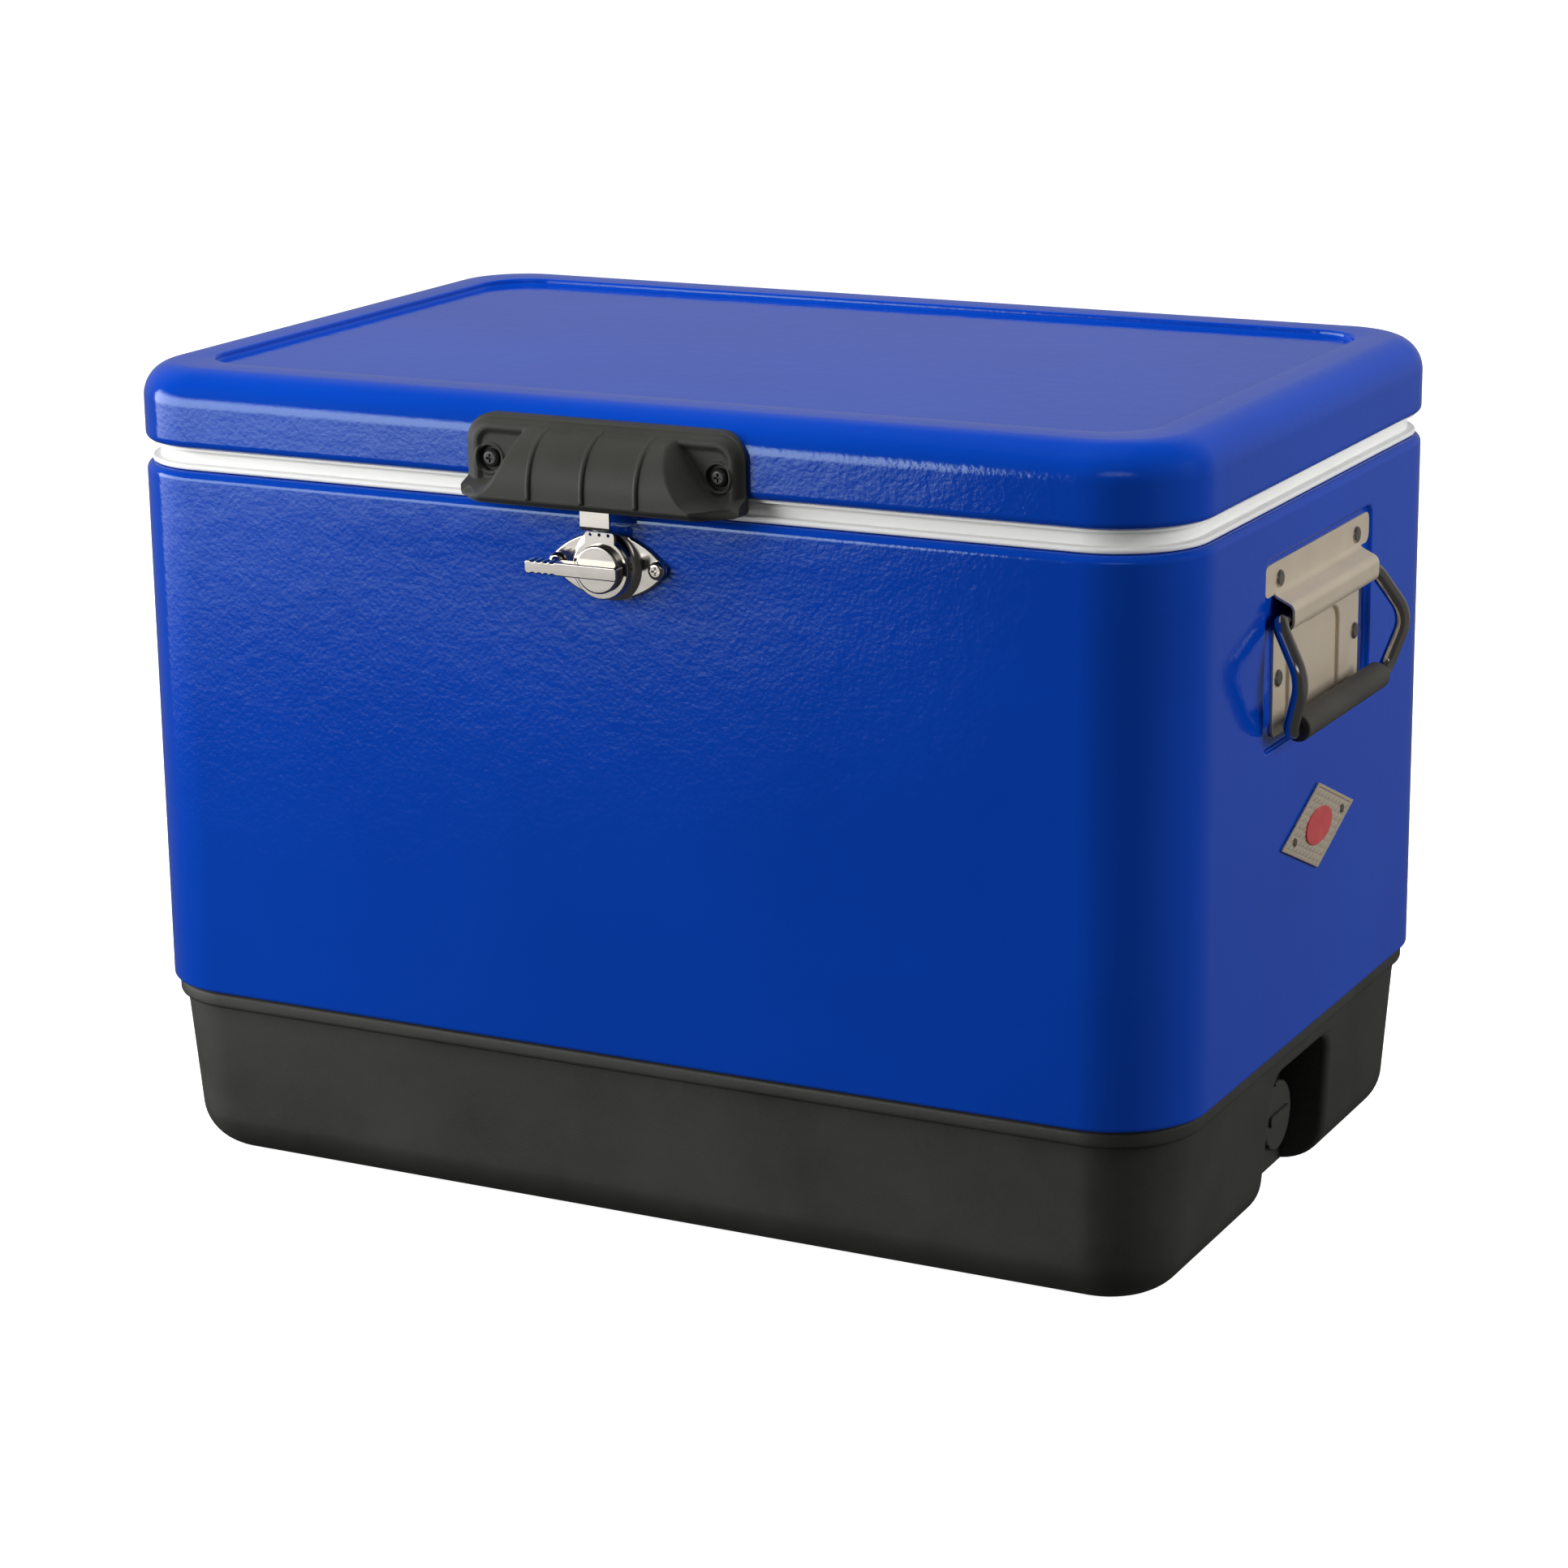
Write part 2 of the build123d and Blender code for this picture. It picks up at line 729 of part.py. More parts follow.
def lid_shell():
    """Painted steel cap with a generous top rounding and a sunk centre panel."""
    outer = lid_core(0, lid_bottom, chest_height, lid_edge_round, lid_top_round)
    outer -= lid_panel(0, 0)
    sunk = outer.edges().filter_by(
        lambda e: e.center().Z > chest_height - panel_sink - 0.1
        and abs(e.center().X) < panel_width / 2 + 0.1
        and abs(e.center().Y) < panel_depth / 2 + 0.1
    )
    outer = fillet(sunk, panel_round)
    inner = lid_core(
        steel, lid_bottom + steel, chest_height - steel,
        lid_edge_round - steel, lid_top_round - steel,
    )
    inner -= lid_panel(steel, steel)
    shell = outer - inner - inset_block(lid_hem, lid_bottom - 1, lid_bottom + 5)
    return cut_all(shell, lid_fastener_holes())


def lid_liner():
    """Off-white underside with its thin lip and the plug that drops into the ice box."""
    lip = inset_block(lid_lip_inset, lid_liner_bottom, lid_bottom - 0.2)
    plate = inset_block(lid_hem + 0.3, lid_liner_bottom, lid_liner_top)
    plug = block(
        chest_width - 2 * plug_inset, chest_depth - 2 * plug_inset, plug_corner,
        plug_bottom, lid_liner_top,
    )
    plug = round_bottom(plug, plug_round)
    return lip + plate + plug - plug_inside(0)


def plug_inside(shrink):
    """The hollow of the lid's plug."""
    inset = plug_inset + plastic + shrink
    hollow = block(
        chest_width - 2 * inset, chest_depth - 2 * inset, plug_corner - plastic - shrink,
        plug_bottom + plastic + shrink, lid_liner_top + 2,
    )
    return round_bottom(hollow, plug_round - plastic)


def lid_foam():
    """Insulation inside the lid."""
    upper = lid_core(
        steel + seam, lid_liner_top + seam, chest_height - steel - seam,
        1.0, lid_top_round - steel - seam,
    )
    upper -= lid_panel(steel + seam, steel + seam)
    return cut_all(upper + plug_inside(seam), lid_fastener_holes())


def grip_space(shrink):
    """Outer form of the grip's hood: a side profile met by a plan outline."""
    front = grip_front_y + shrink
    profile = Polyline((-190, grip_low), (front + 2, grip_low)) + ThreePointArc(
        (front + 2, grip_low), (front, grip_low + 4), (front + 0.6, grip_low + 9)
    ) + ThreePointArc(
        (front + 0.6, grip_low + 9), (front + 7, grip_low + 23), (-201 + shrink, grip_low + 35 - shrink)
    ) + Polyline(
        (-201 + shrink, grip_low + 35 - shrink), (-190, grip_low + 36 - shrink), (-190, grip_low)
    )
    side = extrude(Plane.YZ * make_face(profile), 60, both=True)
    wide = 57 - shrink
    plan = Polyline((-wide, -190), (-wide, -200)) + Spline(
        (-wide, -200), (-wide + 7, -212 + shrink / 2), (-wide + 17, front),
        tangents=[(0.2, -1), (1, 0)],
    ) + Polyline((-wide + 17, front), (wide - 17, front)) + Spline(
        (wide - 17, front), (wide - 7, -212 + shrink / 2), (wide, -200),
        tangents=[(1, 0), (0.2, 1)],
    ) + Polyline((wide, -200), (wide, -190), (-wide, -190))
    above = Pos(0, 0, grip_low - 5) * extrude(make_face(plan), 60)
    return side & above


def lid_grip():
    """Black moulded grip: a flange on the lid's front with a hood for the fingers."""
    outline = Pos(0, (grip_low + grip_high) / 2) * Rectangle(2 * grip_half, grip_high - grip_low)
    outline = fillet(outline.vertices().sort_by(Axis.Y)[-2:], grip_corner)
    flange = front_plate(outline, -185, grip_flange_y)
    flange = fillet(flange.faces().sort_by(Axis.Y)[0].edges(), 1.8)
    shelf = box((-grip_half, grip_half), (-206, -190), (grip_low, grip_low + 5.5))
    shelf = fillet(shelf.edges().filter_by(Axis.Z).sort_by(Axis.Y)[:2], 5)
    shelf = fillet(shelf.faces().sort_by(Axis.Y)[0].edges(), 1.5)
    grip = flange + shelf + grip_space(0)
    for index in (-1, 0, 1):
        grip += grip_rib(index * rib_spacing)
    grip -= grip_space(grip_wall) & box((-46, 46), (-230, -180), (grip_low - 1, grip_low + 29))
    grip -= box((-46, 46), (-202, -180), (grip_low - 1, grip_low + 29))
    grip -= lid_core(-0.1, lid_bottom, chest_height + 0.1, lid_edge_round, lid_top_round)
    grip -= box((-grip_half - 1, grip_half + 1), (-half_depth - 0.1, -180), (370, lid_bottom + 5))
    for place in grip_screw_places():
        grip -= place * Cylinder(grip_counterbore, 6, align=(Align.CENTER, Align.CENTER, Align.MIN))
        grip -= place * shank_hole(screw_shank, 8)
    return grip


def grip_rib(x):
    """Thin raised rib that follows the hood's front."""
    return grip_space(-0.8) & box((x - 0.8, x + 0.8), (-230, -200), (grip_low + 3, grip_low + 34))


# ---------------------------------------------------------------- hinges


def hinge_leaf(spans, upward):
    """One leaf: a plate on the back wall, bent out to its barrel segments."""
    wall_y = half_depth + 0.1
    sign = 1 if upward else -1
    near = hinge_z + sign * 6.5
    far = hinge_z + sign * leaf_reach
    outline = Pos(0, (near + far) / 2) * RectangleRounded(2 * hinge_half, leaf_reach - 6.5, 3)
    leaf = front_plate(outline, wall_y + leaf_sheet, wall_y)
    for low, high in spans:
        web = Polygon(
            (wall_y, hinge_z + sign * 8), (wall_y + leaf_sheet, hinge_z + sign * 8),
            (hinge_y + knuckle_radius - 0.5, hinge_z + sign * 1.5), (hinge_y, hinge_z), align=None,
        )
        leaf += side_plate(web, low, high)
        leaf += rod_x(knuckle_radius, low, high, hinge_y, hinge_z)
    leaf -= rod_x(hinge_pin + fit_gap, -hinge_half - 1, hinge_half + 1, hinge_y, hinge_z)
    holes = [
        on_back(side * leaf_rivet_x, wall_y + leaf_sheet, hinge_z + sign * row)
        * shank_hole(rivet_shank, 3)
        for side in (-1, 1) for row in leaf_rivet_rows
    ]
    return cut_all(leaf, holes)


def hinge_pin_solid():
    """Hinge pin with a small head at each end."""
    pin = rod_x(hinge_pin, -hinge_half - 1.5, hinge_half + 1.5, hinge_y, hinge_z)
    for low, high in ((-hinge_half - 1.6, -hinge_half - 0.2), (hinge_half + 0.2, hinge_half + 1.6)):
        pin += rod_x(hinge_pin + 1.0, low, high, hinge_y, hinge_z)
    return pin


lower_spans = [(-hinge_half, -hinge_middle - 0.4), (hinge_middle + 0.4, hinge_half)]
upper_spans = [(-hinge_middle, hinge_middle)]

save("base_tub", base_tub())
save("steel_belt", steel_belt())
save("inner_liner", inner_liner())
save("body_foam", body_foam())

save("drain_spout", drain_spout())
save("drain_nut", drain_nut())
save("drain_cap", drain_cap())
save("drain_gasket", drain_gasket())
save("drain_tether", drain_tether())

bracket = bail_bracket()
rod = bail_rod()
rod_grip = bail_grip()
bracket_rivet_group = group(place * rivet() for place in bracket_rivet_places())
save("handle_plate_right", bracket)
save("handle_plate_left", mirrored(bracket))
save("handle_rivets_right", bracket_rivet_group)
save("handle_rivets_left", mirrored(bracket_rivet_group))
save("bail_rod_right", rod)
save("bail_rod_left", mirrored(rod))
save("bail_grip_right", rod_grip)
save("bail_grip_left", mirrored(rod_grip))

save("nameplate", nameplate())
save("nameplate_emblem", nameplate_emblem())
save("nameplate_rivets", group(place * small_rivet() for place in nameplate_rivet_places()))

save("latch_escutcheon", latch_escutcheon())
save("latch_screws", group(place * screw() for place in latch_screw_places()))
save("latch_rotor", latch_rotor())
save("latch_lever", latch_lever())
save("latch_spindle", latch_spindle())
save("latch_strike", latch_strike())

save("lid_shell", lid_shell())
save("lid_liner", lid_liner())
save("lid_foam", lid_foam())
save("lid_grip", lid_grip())
save("lid_grip_screws", group(place * screw() for place in grip_screw_places()))

for side_name, x in (("left", -hinge_x), ("right", hinge_x)):
    save(f"hinge_leaf_body_{side_name}", Pos(x, 0, 0) * hinge_leaf(lower_spans, False))
    save(f"hinge_leaf_lid_{side_name}", Pos(x, 0, 0) * hinge_leaf(upper_spans, True))
    save(f"hinge_pin_{side_name}", Pos(x, 0, 0) * hinge_pin_solid())
save("hinge_rivets_body", group(place * rivet() for place in leaf_rivet_places(False)))
save("hinge_rivets_lid", group(place * rivet() for place in leaf_rivet_places(True)))
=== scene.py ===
import json
from math import cos, hypot, pi, radians, sin, sqrt

import bpy
from mathutils import Matrix, Vector


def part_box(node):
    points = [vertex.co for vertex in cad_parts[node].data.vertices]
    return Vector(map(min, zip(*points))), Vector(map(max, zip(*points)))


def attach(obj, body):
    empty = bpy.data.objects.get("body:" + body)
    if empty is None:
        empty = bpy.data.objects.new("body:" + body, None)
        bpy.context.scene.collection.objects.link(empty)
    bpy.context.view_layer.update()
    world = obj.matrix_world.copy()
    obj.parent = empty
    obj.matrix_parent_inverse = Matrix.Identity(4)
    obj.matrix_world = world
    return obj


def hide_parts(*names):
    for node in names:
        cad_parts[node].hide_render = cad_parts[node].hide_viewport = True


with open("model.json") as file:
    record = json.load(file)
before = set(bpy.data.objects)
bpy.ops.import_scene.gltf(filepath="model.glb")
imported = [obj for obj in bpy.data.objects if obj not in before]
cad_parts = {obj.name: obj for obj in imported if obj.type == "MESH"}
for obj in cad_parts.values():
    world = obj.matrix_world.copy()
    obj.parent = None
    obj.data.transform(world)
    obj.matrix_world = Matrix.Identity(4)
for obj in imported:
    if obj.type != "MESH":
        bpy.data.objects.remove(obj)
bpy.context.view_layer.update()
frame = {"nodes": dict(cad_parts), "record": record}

MM = 0.001


# ---------------------------------------------------------------- material helpers


class Graph:
    """A small wrapper that builds one material's node tree."""

    def __init__(self, name, base, rough, metallic=0.0):
        self.material = bpy.data.materials.new(name)
        self.material.use_nodes = True
        self.tree = self.material.node_tree
        self.shader = self.tree.nodes["Principled BSDF"]
        self.shader.inputs["Base Color"].default_value = (*base, 1)
        self.shader.inputs["Roughness"].default_value = rough
        self.shader.inputs["Metallic"].default_value = metallic
        self.place = self.node("ShaderNodeTexCoord").outputs["Object"]

    def node(self, kind, **settings):
        made = self.tree.nodes.new(kind)
        for key, value in settings.items():
            setattr(made, key, value)
        return made

    def link(self, output, target):
        self.tree.links.new(output, target)

    def stretched(self, scale):
        """Object coordinates scaled differently along each axis."""
        mapping = self.node("ShaderNodeMapping")
        mapping.inputs["Scale"].default_value = scale
        self.link(self.place, mapping.inputs["Vector"])
        return mapping.outputs["Vector"]

    def noise(self, scale, detail=3.0, rough=0.5, place=None):
        made = self.node("ShaderNodeTexNoise")
        made.inputs["Scale"].default_value = scale
        made.inputs["Detail"].default_value = detail
        made.inputs["Roughness"].default_value = rough
        self.link(place or self.place, made.inputs["Vector"])
        return made.outputs["Fac"]

    def spread(self, value, low, high, out_low=0.0, out_high=1.0):
        """Map a value from one range to another, clamped."""
        made = self.node("ShaderNodeMapRange")
        for key, number in (
            ("From Min", low), ("From Max", high), ("To Min", out_low), ("To Max", out_high)
        ):
            made.inputs[key].default_value = number
        self.link(value, made.inputs["Value"])
        return made.outputs["Result"]

    def mix(self, factor, first, second):
        made = self.node("ShaderNodeMix", data_type="RGBA")
        made.inputs["A"].default_value = (*first, 1)
        made.inputs["B"].default_value = (*second, 1)
        self.link(factor, made.inputs["Factor"])
        return made.outputs["Result"]

    def add(self, first, second, weight=1.0):
        made = self.node("ShaderNodeMath", operation="MULTIPLY_ADD")
        self.link(second, made.inputs[0])
        made.inputs[1].default_value = weight
        self.link(first, made.inputs[2])
        return made.outputs["Value"]

    def bump(self, height, strength, distance, coat=False):
        made = self.node("ShaderNodeBump")
        made.inputs["Strength"].default_value = strength
        made.inputs["Distance"].default_value = distance
        self.link(height, made.inputs["Height"])
        self.link(made.outputs["Normal"], self.shader.inputs["Normal"])
        if coat:
            self.link(made.outputs["Normal"], self.shader.inputs["Coat Normal"])

    def colour(self, output):
        self.link(output, self.shader.inputs["Base Color"])

    def roughness(self, output):
        self.link(output, self.shader.inputs["Roughness"])


def blue_paint():
    """Glossy stoved enamel over steel, with a fine orange peel."""
    g = Graph("blue_paint", (0.0012, 0.047, 0.42), 0.07)
    g.shader.inputs["IOR"].default_value = 1.5
    g.shader.inputs["Specular Tint"].default_value = (0.74, 0.95, 1.0, 1)
    cloud = g.noise(7.0, 4.0)
    g.colour(g.mix(g.spread(cloud, 0.3, 0.7), (0.0008, 0.044, 0.385), (0.0012, 0.050, 0.430)))
    peel = g.noise(420.0, 2.0, 0.45)
    wave = g.noise(90.0, 1.0)
    g.bump(g.add(peel, wave, 1.5), 0.10, 0.0006)
    g.roughness(g.spread(g.noise(300.0), 0.3, 0.7, 0.06, 0.09))
    return g.material


def moulded_black(name, base, rough=0.52, grain=900.0, depth=0.22):
    """Black textured moulding with a spark-eroded grain and faint scuffs."""
    g = Graph(name, base, rough)
    speck = g.noise(grain, 4.0, 0.6)
    cloud = g.noise(16.0, 5.0, 0.6)
    light = tuple(min(1.0, c * 1.5 + 0.006) for c in base)
    g.colour(g.mix(g.spread(g.add(cloud, speck, 0.35), 0.45, 0.95), base, light))
    g.roughness(g.spread(cloud, 0.3, 0.7, rough - 0.05, rough + 0.08))
    g.bump(speck, depth, 0.0004)
    return g.material


def liner_plastic():
    """Off-white moulded liner with a soft sheen."""
    g = Graph("liner_plastic", (0.86, 0.86, 0.84), 0.36)
    cloud = g.noise(22.0, 4.0)
    g.colour(g.mix(g.spread(cloud, 0.3, 0.7), (0.85, 0.85, 0.83), (0.87, 0.87, 0.85)))
    g.bump(g.noise(600.0, 3.0), 0.06, 0.0003)
    g.roughness(g.spread(g.noise(120.0), 0.3, 0.7, 0.32, 0.42))
    return g.material


def metal(name, base, rough, grain, spread=0.06, depth=0.05, metallic=1.0):
    """Bare or plated metal with a directional grain along one axis."""
    g = Graph(name, base, rough, metallic)
    lines = g.noise(60.0, 4.0, 0.6, place=g.stretched(grain))
    cloud = g.noise(45.0, 3.0)
    dark = tuple(c * 0.93 for c in base)
    g.colour(g.mix(g.spread(cloud, 0.3, 0.7), dark, base))
    g.roughness(g.spread(lines, 0.3, 0.7, max(0.02, rough - spread), rough + spread))
    g.bump(lines, depth, 0.0002)
    return g.material


def emblem_enamel():
    """Red enamel with a slight orange peel."""
    g = Graph("emblem_enamel", (0.55, 0.045, 0.05), 0.3)
    g.shader.inputs["Coat Weight"].default_value = 0.8
    g.shader.inputs["Coat Roughness"].default_value = 0.08
    cloud = g.noise(150.0, 3.0)
    g.colour(g.mix(g.spread(cloud, 0.3, 0.7), (0.50, 0.035, 0.04), (0.60, 0.06, 0.06)))
    g.bump(g.noise(900.0, 2.0), 0.08, 0.0003, coat=True)
    return g.material


def insulation():
    """Pale yellow rigid foam with open cells."""
    g = Graph("foam", (0.78, 0.69, 0.42), 0.8)
    cell = g.node("ShaderNodeTexVoronoi")
    cell.inputs["Scale"].default_value = 700.0
    g.link(g.place, cell.inputs["Vector"])
    tone = g.spread(cell.outputs["Distance"], 0.0, 0.8)
    g.colour(g.mix(tone, (0.62, 0.52, 0.28), (0.82, 0.74, 0.48)))
    g.bump(cell.outputs["Distance"], 0.4, 0.0008)
    return g.material


def make_materials():
    """One material for each slot of the record."""
    return {
        "blue_paint": blue_paint(),
        "base_plastic": moulded_black("base_plastic", (0.025, 0.025, 0.0215), 0.5),
        "grip_plastic": moulded_black("grip_plastic", (0.025, 0.025, 0.0215), 0.55),
        "drain_plastic": moulded_black("drain_plastic", (0.026, 0.026, 0.022), 0.45),
        "grip_rubber": moulded_black("grip_rubber", (0.045, 0.043, 0.038), 0.6, 500.0, 0.3),
        "gasket_rubber": moulded_black("gasket_rubber", (0.02, 0.02, 0.02), 0.7),
        "black_screw": moulded_black("black_screw", (0.015, 0.015, 0.015), 0.25, 700.0, 0.08),
        "liner_plastic": liner_plastic(),
        "foam": insulation(),
        "stainless": metal("stainless", (0.78, 0.67, 0.52), 0.33, (1.0, 1.0, 1.0), 0.03, 0.012, 0.45),
        "rivet_steel": metal("rivet_steel", (0.50, 0.46, 0.40), 0.32, (1.0, 1.0, 1.0), 0.04, 0.02),
        "nickel": metal("nickel", (0.56, 0.53, 0.49), 0.13, (1.0, 1.0, 3.0), 0.03, 0.012),
        "nameplate_metal": metal(
            "nameplate_metal", (0.60, 0.52, 0.41), 0.36, (1.0, 1.0, 1.0), 0.04, 0.02, 0.5
        ),
        "emblem_enamel": emblem_enamel(),
    }


materials = make_materials()
slot_of = {s["node"]: s["material_slot"] for s in frame["record"]["subparts"]}


def paint_nodes():
    """Give every CAD node its slot's material."""
    for name, obj in frame["nodes"].items():
        obj.data.materials.clear()
        obj.data.materials.append(materials[slot_of[name]])


# ---------------------------------------------------------------- mesh helpers


def smooth(value):
    """Ease from 0 to 1, flat at both ends."""
    t = min(1.0, max(0.0, value))
    return t * t * (3 - 2 * t)


def ease(value, low, high):
    """Smooth step from 0 at low to 1 at high."""
    return smooth((value - low) / (high - low))


def spaced(low, high, count):
    """Evenly spaced values, both ends included."""
    return [low + (high - low) * i / (count - 1) for i in range(count)]


def arc(centre_a, centre_b, radius, start, end, steps):
    """Points of a circular arc in a plane, from one angle to another in degrees."""
    return [
        (centre_a + radius * cos(radians(t)), centre_b + radius * sin(radians(t)))
        for t in spaced(start, end, steps)
    ]


def make_piece(name, points, faces, slot, body, smooth_angle=40):
    """Turn millimetre points and faces into a piece that rides on a body."""
    mesh = bpy.data.meshes.new(name)
    mesh.from_pydata([[c * MM for c in p] for p in points], [], faces)
    mesh.validate()
    mesh.update()
    mesh.materials.append(materials[slot])
    mesh.polygons.foreach_set("use_smooth", [True] * len(mesh.polygons))
    mesh.set_sharp_from_angle(angle=radians(smooth_angle))
    piece = bpy.data.objects.new(name, mesh)
    bpy.context.scene.collection.objects.link(piece)
    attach(piece, body)
    return piece


def strip_faces(first, second, closed=True):
    """Quads between two rings of the same length, given their first indices and length."""
    start_a, start_b, count = first[0], second[0], first[1]
    last = count if closed else count - 1
    return [
        (start_a + i, start_a + (i + 1) % count, start_b + (i + 1) % count, start_b + i)
        for i in range(last)
    ]


CORNER_STEPS = 24


def plan_ring(half_x, half_y, radius, end_stops=()):
    """Rounded rectangle, anticlockwise from the right end, with extra points along the two ends."""
    ring = []
    straight = half_y - radius
    ring += [(half_x, y) for y in end_stops]
    ring += arc(half_x - radius, straight, radius, 0, 90, CORNER_STEPS)
    ring += [(x, half_y) for x in spaced(half_x - radius, radius - half_x, 9)[1:-1]]
    ring += arc(radius - half_x, straight, radius, 90, 180, CORNER_STEPS)
    ring += [(-half_x, -y) for y in end_stops]
    ring += arc(radius - half_x, -straight, radius, 180, 270, CORNER_STEPS)
    ring += [(x, -half_y) for x in spaced(radius - half_x, half_x - radius, 9)[1:-1]]
    ring += arc(half_x - radius, -straight, radius, 270, 360, CORNER_STEPS)
    return ring


def sweep(levels, end_stops=(), press=None, closed=True):
    """Surface through plan rings, each (half_x, half_y, radius, z): a closed loop, or capped ends."""
    points, faces = [], []
    starts = []
    for half_x, half_y, radius, z in levels:
        ring = plan_ring(half_x, half_y, radius, end_stops)
        starts.append((len(points), len(ring)))
        for x, y in ring:
            points.append(press(x, y, z) if press else (x, y, z))
    following = starts[1:] + starts[:1] if closed else starts[1:]
    for first, second in zip(starts, following):
        faces += strip_faces(first, second)
    if not closed:
        faces.append(tuple(reversed(range(starts[0][1]))))
        faces.append(tuple(range(starts[-1][0], starts[-1][0] + starts[-1][1])))
    return points, faces


# ---------------------------------------------------------------- painted steel shells

SHEET = 0.6
CORNER = 50.0
MM_BOX = {name: [[c / MM for c in corner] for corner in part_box(name)] for name in frame["nodes"]}


def half_size(node):
    """Half the width and depth of a CAD node, and its lowest and highest level, in millimetres."""
    low, high = MM_BOX[node]
    return (high[0] - low[0]) / 2, (high[1] - low[1]) / 2, low[2], high[2]


CHEST_HALF = half_size("steel_belt")[:2]
RECESS_HALF = 77.0
RECESS_LOW = 262.0
RECESS_HIGH = 359.0
RECESS_CORNER = 6.0
RECESS_DEPTH = 2.5
RECESS_EDGE = 2.4
BELT_TOP_ROUND = 4.5
BELT_FLANGE = 9.7
BELT_HEM = 6.0


def dense_stops(low, high, edges, coarse=9.0, fine=0.6, reach=4.2):
    """Values from low to high, packed closely near each edge."""
    values = spaced(low, high, max(2, int((high - low) / coarse) + 1))
    values = [v for v in values if all(abs(v - edge) > reach for edge in edges)]
    for edge in edges:
        values += spaced(edge - reach, edge + reach, int(2 * reach / fine) + 1)
    return sorted(values)


def rounded_distance(a, b, half_a, half_b, radius):
    """Distance outside a rounded rectangle's outline; negative inside it."""
    qa, qb = abs(a) - half_a + radius, abs(b) - half_b + radius
    return hypot(max(qa, 0), max(qb, 0)) + min(max(qa, qb), 0) - radius


def wall_ripple(along, z):
    """The slight hollows that a wrapped steel sheet keeps between its corners, in millimetres."""
    wave = sin(along / 83 + 1.1) * sin(z / 61 + 0.6) + 0.6 * sin(along / 47 - z / 90)
    return 0.16 * (1.6 + wave)


def press_belt(x, y, z):
    """Sink the two handle recesses and give the walls their slight ripple."""
    half_x, half_y, low, high = half_size("steel_belt")
    fade = ease(z, low + 4, low + 40) * (1 - ease(z, high - 40, high - 6))
    if abs(x) > half_x - 1.5 and abs(y) < half_y - CORNER + 0.01:
        outside = rounded_distance(
            y, z - (RECESS_LOW + RECESS_HIGH) / 2,
            RECESS_HALF, (RECESS_HIGH - RECESS_LOW) / 2, RECESS_CORNER,
        )
        sunk = RECESS_DEPTH * (1 - ease(outside, -RECESS_EDGE / 2, RECESS_EDGE / 2))
        x -= sunk if x > 0 else -sunk
    elif abs(y) > half_y - 1.5 and abs(x) < half_x - CORNER:
        side = 1 - ease(abs(x), half_x - CORNER - 70, half_x - CORNER)
        inward = wall_ripple(x, z) * fade * side
        y -= inward if y > 0 else -inward
    return x, y, z


def make_belt():
    """Painted steel wrap: turned-in edges, rounded top roll and a pressed recess on each end."""
    half_x, half_y, low, high = half_size("steel_belt")

    def level(inset, z):
        return half_x - inset, half_y - inset, CORNER - inset, z

    upright = dense_stops(low + 2.5, high - BELT_TOP_ROUND - 0.5, (RECESS_LOW, RECESS_HIGH))
    outer = [level(BELT_HEM, low)]
    outer += [level(2 + a, b) for a, b in arc(0, low + 2, 2, 270, 180, 6)]
    outer += [level(0, z) for z in upright]
    roll = BELT_TOP_ROUND
    outer += [level(roll + a, b) for a, b in arc(0, high - roll, roll, 180, 90, 10)]
    outer += [level(BELT_FLANGE, high)]
    inner_roll = roll - SHEET
    inner = [level(BELT_FLANGE, high - SHEET)]
    inner += [level(roll + a, b) for a, b in arc(0, high - roll, inner_roll, 90, 180, 6)]
    inner += [level(SHEET, z) for z in reversed(upright)]
    inner += [level(BELT_HEM, low + SHEET)]
    stops = dense_stops(CORNER - half_y + 4, half_y - CORNER - 4, (-RECESS_HALF, RECESS_HALF))
    points, faces = sweep(outer + inner, stops, press_belt)
    belt = make_piece("painted_belt", points, faces, "blue_paint", "chest")
    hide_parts("steel_belt")


LID_TOP = 434.0
LID_TOP_ROUND = 18.0
LID_FACE_MARGIN = 0.8
LID_EDGE_ROUND = 3.5
LID_HEM = 6.0
PANEL_HALF = (267.0, 160.0)
PANEL_CORNER = 28.0
PANEL_SINK = 3.2
PANEL_ROUND = 1.4


def lid_levels(offset, low, high):
    """Half-section of the lid's sheet from its hem to the middle of the sunk panel."""
    half_x, half_y = half_size("lid_shell")[:2]

    def level(inset, z):
        return half_x - inset, half_y - inset, CORNER - inset, z

    edge, roll = LID_EDGE_ROUND, LID_TOP_ROUND
    levels = [level(LID_HEM, low + offset)]
    levels += [level(edge + a, b) for a, b in arc(0, low + edge, edge - offset, 270, 180, 7)]
    face_ends = (low + edge + LID_FACE_MARGIN, high - roll - LID_FACE_MARGIN)
    levels += [level(offset, z) for z in face_ends]
    levels += [level(roll + a, b) for a, b in arc(0, high - roll, roll - offset, 180, 90, 26)]
    levels.append(level(roll + 4, high - offset))

    def panel(outward, z):
        return PANEL_HALF[0] + outward, PANEL_HALF[1] + outward, PANEL_CORNER + outward, z - offset

    floor = high - PANEL_SINK
    levels += [panel(b, z) for b, z in arc(PANEL_ROUND, high - PANEL_ROUND, PANEL_ROUND, 90, 180, 7)]
    levels += [panel(b, z) for b, z in arc(-PANEL_ROUND, floor + PANEL_ROUND, PANEL_ROUND, 0, -90, 7)]
    levels += [panel(-6, floor), panel(-16, floor)]
    return levels


